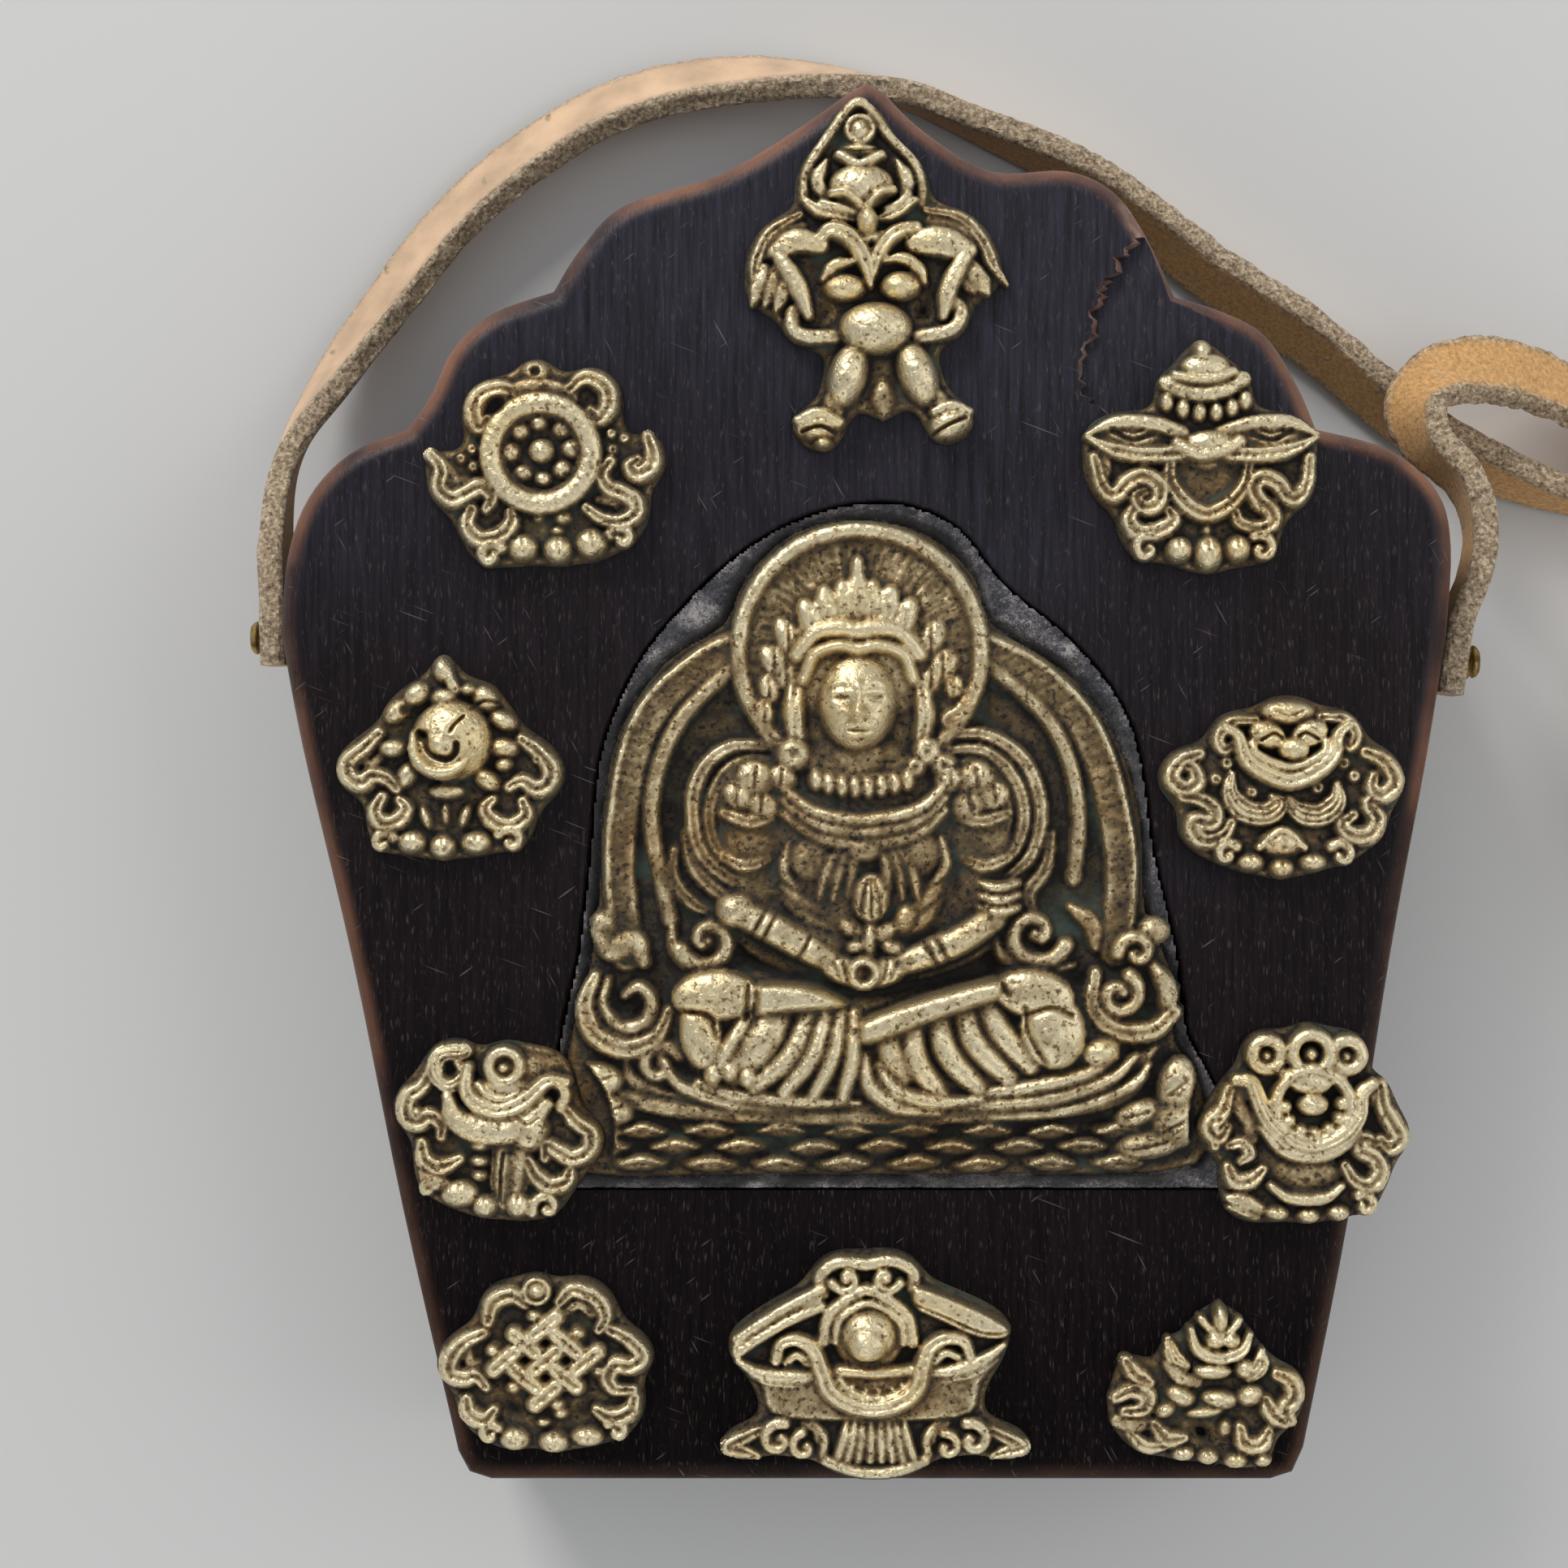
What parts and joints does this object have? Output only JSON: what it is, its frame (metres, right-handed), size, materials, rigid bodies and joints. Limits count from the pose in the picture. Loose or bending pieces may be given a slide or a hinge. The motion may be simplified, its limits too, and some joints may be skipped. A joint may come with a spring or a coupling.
{
  "type": "prayer box",
  "caption": "Carved hardwood amulet case with cast brass emblems, a seated deity plaque in a niche, a sliding back and a leather carrying strap.",
  "frame": {"origin": "centre of the base of the bounding box of the box itself, on the surface it lies on, without the strap", "axes": "+X to the box's right as its front is seen, +Y towards the pointed crown, +Z out of the carved front"},
  "size_m": [0.2497, 0.1834, 0.0448],
  "materials": {
    "hardwood": "dark oiled hardwood, worn reddish at the edges",
    "cast_brass": "cast brass with dark patina in the hollows",
    "brass": "drawn brass, dulled",
    "packing_felt": "grey fibrous packing",
    "leather": "tan leather with a rough cut edge",
    "paper": "handmade paper",
    "scroll_wood": "plain stick",
    "thread": "wound cotton thread"
  },
  "bodies": {
    "case": {"case_body": "hardwood", "niche_packing": "packing_felt", "deity_plaque": "cast_brass", "garuda": "cast_brass", "garuda_pin": "brass", "dharma_wheel": "cast_brass", "dharma_wheel_pin": "brass", "parasol": "cast_brass", "parasol_pin": "brass", "conch": "cast_brass", "conch_pin": "brass", "golden_fish": "cast_brass", "golden_fish_pin": "brass", "victory_banner": "cast_brass", "victory_banner_pin": "brass", "treasure_vase": "cast_brass", "treasure_vase_pin": "brass", "endless_knot": "cast_brass", "endless_knot_pin": "brass", "jewel_casket": "cast_brass", "jewel_casket_pin": "brass", "lotus": "cast_brass", "lotus_pin": "brass", "plaque_pin_1": "brass", "plaque_pin_2": "brass", "plaque_pin_3": "brass", "plaque_pin_4": "brass", "strap_left": "leather", "strap_tack_left_1": "brass", "strap_tack_left_2": "brass", "strap_right": "leather", "strap_tack_right_1": "brass", "strap_tack_right_2": "brass", "strap_coil": "leather", "prayer_scroll": "paper", "scroll_stick": "scroll_wood", "scroll_tie": "thread"},
    "back_cover": {"back_cover": "hardwood", "cover_knob": "brass"}
  },
  "joints": [
    {"name": "cover_slide", "type": "slide", "parent": "case", "child": "back_cover", "axis": [0, -1, 0], "range_m": [0, 0.1]}
  ]
}
